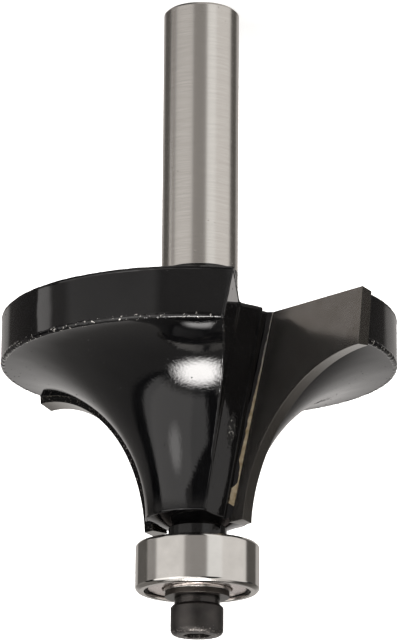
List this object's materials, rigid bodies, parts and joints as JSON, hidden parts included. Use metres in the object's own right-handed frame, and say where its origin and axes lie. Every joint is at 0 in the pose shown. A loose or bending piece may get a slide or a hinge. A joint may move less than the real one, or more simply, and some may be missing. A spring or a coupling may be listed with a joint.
{
  "type": "router bit",
  "caption": "Round-over router bit: plain shank, winged cutter body with brazed cutting tips in swept gullets, pilot bearing held by a socket screw.",
  "frame": {"origin": "centre of the shank's end face, on which the bit stands", "axes": "+Z along the shank towards the cutter and the pilot bearing; +X towards the cutting edge of tip carbide_a; the bit cuts turning positive about +Z"},
  "size_m": [0.0424, 0.041, 0.0672],
  "materials": {
    "body": "gloss black lacquer on the cutter body, bare ground steel on the shank",
    "carbide": "ground tungsten carbide",
    "braze": "satin braze metal",
    "bearing_steel": "ground and polished bearing steel",
    "shield": "satin pressed sheet",
    "cage": "moulded",
    "black_steel": "black oxide"
  },
  "bodies": {
    "bit": {"cutter_body": "body", "carbide_a": "carbide", "carbide_b": "carbide", "braze_a": "braze", "braze_b": "braze", "inner_ring": "bearing_steel", "clamp_washer": "black_steel", "spacer_ring": "black_steel", "cap_screw": "black_steel"},
    "pilot": {"outer_ring": "bearing_steel", "shield_inner": "shield", "shield_outer": "shield"},
    "cage": {"ball_cage": "cage", "ball_1": "bearing_steel", "ball_2": "bearing_steel", "ball_3": "bearing_steel", "ball_4": "bearing_steel", "ball_5": "bearing_steel", "ball_6": "bearing_steel", "ball_7": "bearing_steel"}
  },
  "joints": [
    {"name": "pilot_spin", "type": "hinge", "parent": "bit", "child": "pilot", "pos_m": [0, 0, 0.06027], "axis": [0, 0, 1], "continuous": true},
    {"name": "cage_spin", "type": "hinge", "parent": "bit", "child": "cage", "pos_m": [0, 0, 0.06027], "axis": [0, 0, 1], "continuous": true}
  ],
  "couplings": [
    {"joint": "cage_spin", "follows": "pilot_spin", "ratio": 0.63635}
  ]
}
